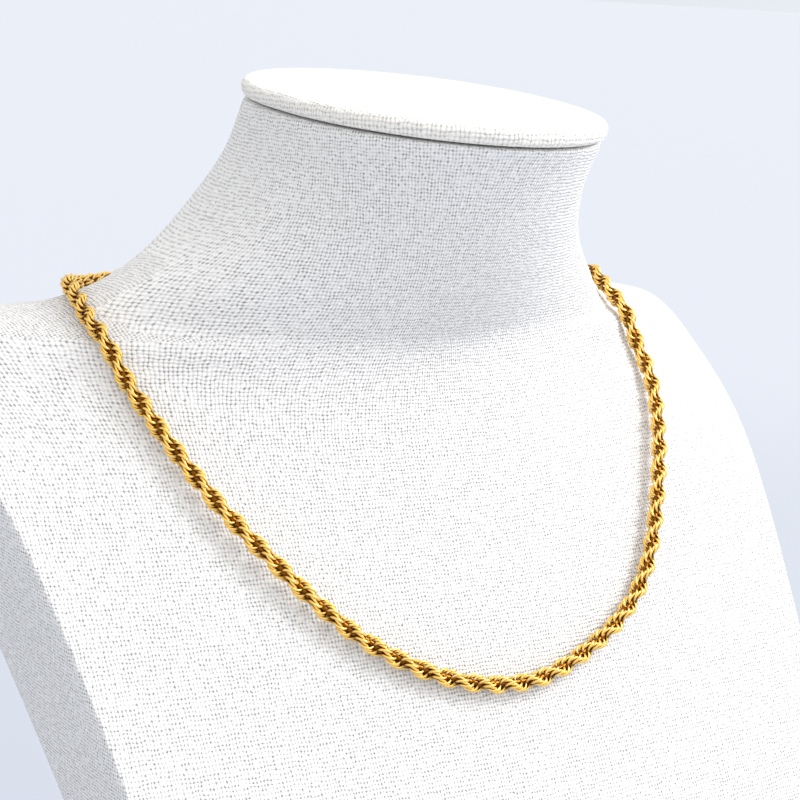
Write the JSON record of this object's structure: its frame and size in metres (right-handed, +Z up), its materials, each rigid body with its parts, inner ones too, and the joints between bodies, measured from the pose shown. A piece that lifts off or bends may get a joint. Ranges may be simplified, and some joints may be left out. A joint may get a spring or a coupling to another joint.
{
  "type": "rope chain on neck bust",
  "caption": "Twisted rope neck chain in polished yellow gold, closed by a barrel clasp at the nape and worn on a linen covered neck bust that stands on its flat base.",
  "frame": {"origin": "centre of the shoulders' width and of the bust's depth, on the flat base", "axes": "+Z up along the neck, -Y the way the bust faces, +X to the bust's left"},
  "size_m": [0.2122, 0.1539, 0.2625],
  "materials": {
    "gold": "polished",
    "linen": "matte"
  },
  "bodies": {
    "root": {"bust_form": "linen", "neck_cap": "linen", "rope_chain": "gold", "clasp": "gold"}
  },
  "joints": []
}
